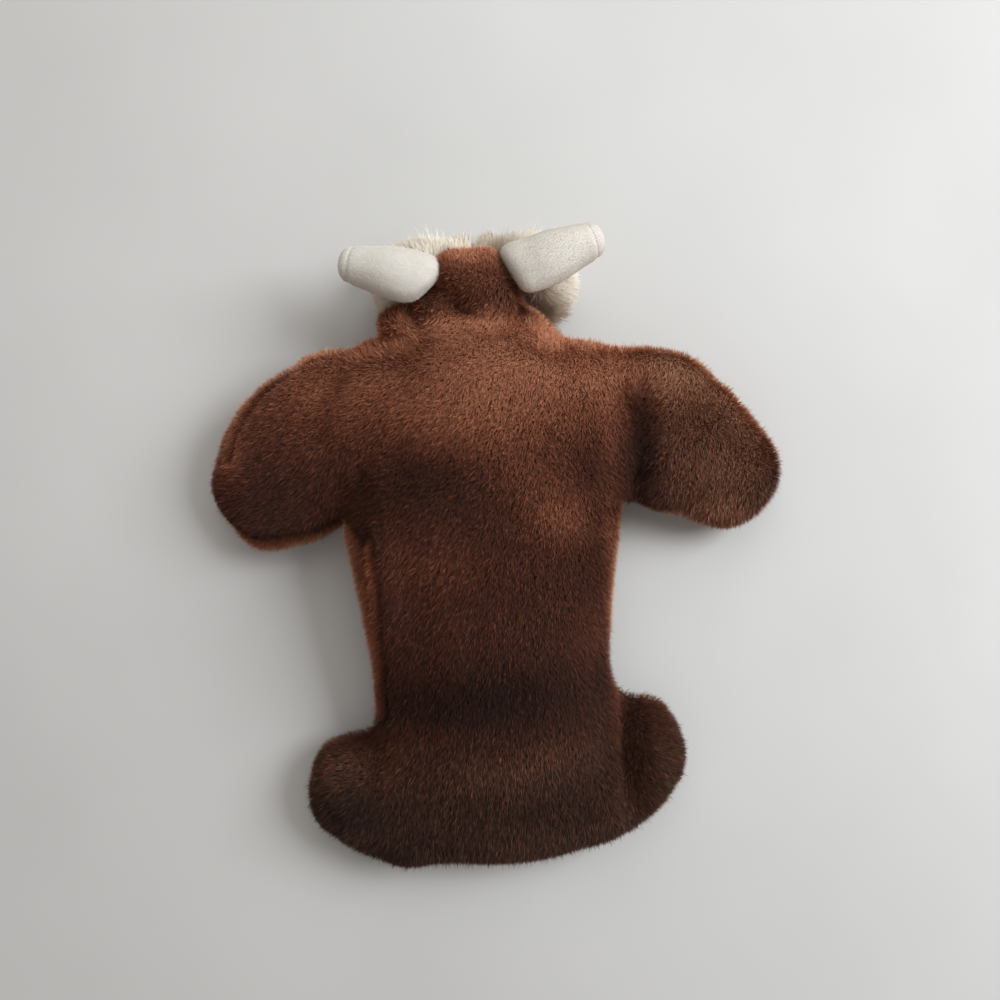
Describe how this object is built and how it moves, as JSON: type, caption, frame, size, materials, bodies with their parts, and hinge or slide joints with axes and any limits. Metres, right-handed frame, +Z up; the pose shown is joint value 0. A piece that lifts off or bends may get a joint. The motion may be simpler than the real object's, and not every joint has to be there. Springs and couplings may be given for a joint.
{
  "type": "plush walrus toy",
  "caption": "Stuffed plush walrus lying on its belly, with soft front flippers, tail flukes, a cream muzzle and padded tusks that bend at their sewn roots.",
  "frame": {"origin": "on the flat of the belly, under the middle of the body", "axes": "+Y from the tail to the head, +Z up out of the back, +X to the walrus's right"},
  "size_m": [0.2927, 0.3205, 0.0627],
  "materials": {
    "brown_plush": "short dense pile",
    "cream_fur": "long soft pile",
    "tusk_velour": "short velour",
    "polyester_filling": "loose fibre",
    "black_gloss": "polished",
    "nose_velvet": "velvet",
    "white_plastic": "moulded"
  },
  "bodies": {
    "torso": {"back_panel": "brown_plush", "belly_panel": "brown_plush", "body_filling": "polyester_filling"},
    "head": {"head_upper_panel": "brown_plush", "head_lower_panel": "brown_plush", "head_filling": "polyester_filling", "eye_left": "black_gloss", "eye_right": "black_gloss", "eye_washer_left": "white_plastic", "eye_washer_right": "white_plastic", "whisker_pad_left": "cream_fur", "whisker_pad_right": "cream_fur", "pad_filling_left": "polyester_filling", "pad_filling_right": "polyester_filling", "nose": "nose_velvet"},
    "tusk_left": {"tusk_cover_left": "tusk_velour", "tusk_cap_left": "tusk_velour", "tusk_filling_left": "polyester_filling"},
    "tusk_right": {"tusk_cover_right": "tusk_velour", "tusk_cap_right": "tusk_velour", "tusk_filling_right": "polyester_filling"},
    "flipper_left": {"flipper_left_upper_panel": "brown_plush", "flipper_left_lower_panel": "brown_plush", "flipper_left_filling": "polyester_filling"},
    "flipper_right": {"flipper_right_upper_panel": "brown_plush", "flipper_right_lower_panel": "brown_plush", "flipper_right_filling": "polyester_filling"},
    "fluke_left": {"fluke_left_upper_panel": "brown_plush", "fluke_left_lower_panel": "brown_plush", "fluke_left_filling": "polyester_filling"},
    "fluke_right": {"fluke_right_upper_panel": "brown_plush", "fluke_right_lower_panel": "brown_plush", "fluke_right_filling": "polyester_filling"}
  },
  "joints": [
    {"name": "head_nod", "type": "hinge", "parent": "torso", "child": "head", "pos_m": [0, 0.113, 0.03], "axis": [1, 0, 0], "range_deg": [-20, 35], "stiffness_Nm_per_rad": 0.1},
    {"name": "flipper_left_flap", "type": "hinge", "parent": "torso", "child": "flipper_left", "pos_m": [-0.07597, 0.07, 0.03], "axis": [0, 1, 0], "range_deg": [-20, 40], "stiffness_Nm_per_rad": 0.06},
    {"name": "flipper_right_flap", "type": "hinge", "parent": "torso", "child": "flipper_right", "pos_m": [0.07669, 0.065, 0.03], "axis": [0, -1, 0], "range_deg": [-20, 40], "stiffness_Nm_per_rad": 0.06},
    {"name": "fluke_left_flap", "type": "hinge", "parent": "torso", "child": "fluke_left", "pos_m": [-0.06525, -0.114, 0.019], "axis": [0, 1, 0], "range_deg": [-20, 40], "stiffness_Nm_per_rad": 0.02},
    {"name": "fluke_right_flap", "type": "hinge", "parent": "torso", "child": "fluke_right", "pos_m": [0.06559, -0.102, 0.019], "axis": [0, -1, 0], "range_deg": [-20, 40], "stiffness_Nm_per_rad": 0.02},
    {"name": "tusk_left_lift", "type": "hinge", "parent": "head", "child": "tusk_left", "pos_m": [-0.013, 0.134, 0.046], "axis": [0.2756, 0.9613, 0], "range_deg": [0, 40], "stiffness_Nm_per_rad": 0.008},
    {"name": "tusk_right_lift", "type": "hinge", "parent": "head", "child": "tusk_right", "pos_m": [0.013, 0.1365, 0.046], "axis": [0.3502, -0.9367, 0], "range_deg": [0, 40], "stiffness_Nm_per_rad": 0.008}
  ]
}
